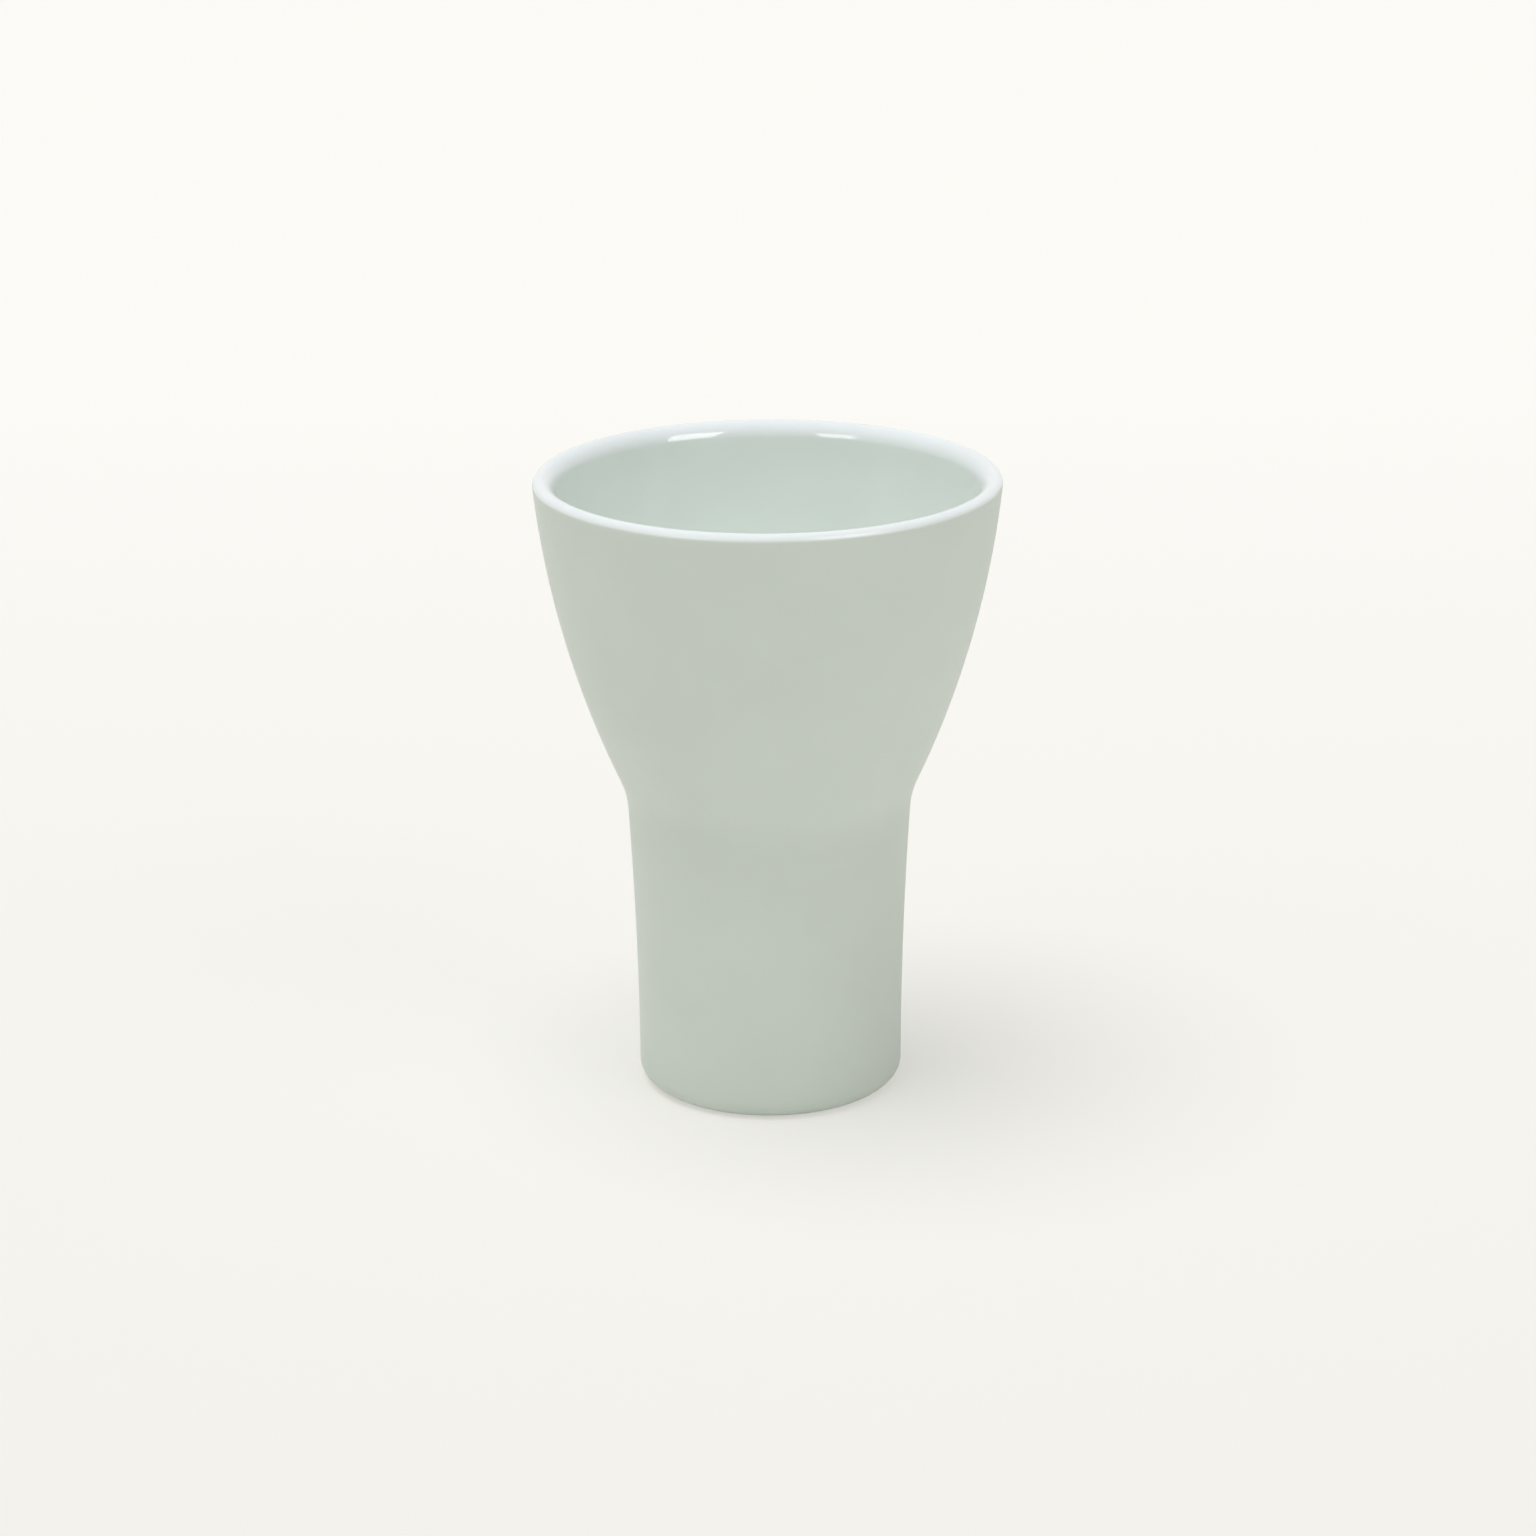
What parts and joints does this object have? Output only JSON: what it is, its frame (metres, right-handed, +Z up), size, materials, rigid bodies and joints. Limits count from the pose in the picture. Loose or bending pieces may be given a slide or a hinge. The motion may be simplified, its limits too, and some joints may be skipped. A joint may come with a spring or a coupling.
{
  "type": "porcelain beaker",
  "caption": "Tall porcelain drinking beaker: slim stem on a ringed foot, soft neck, flared bowl with a rounded lip; matt celadon outside, glazed inside",
  "frame": {"origin": "centre of the foot, at the height of the table it stands on", "axes": "+Z up along the axis the beaker is turned about; X and Y level, all directions alike"},
  "size_m": [0.088, 0.088, 0.1205],
  "materials": {
    "celadon_porcelain": "pale grey-green, matt and finely grained outside, glossy glaze inside and over the lip"
  },
  "bodies": {
    "root": {"beaker": "celadon_porcelain"}
  },
  "joints": []
}
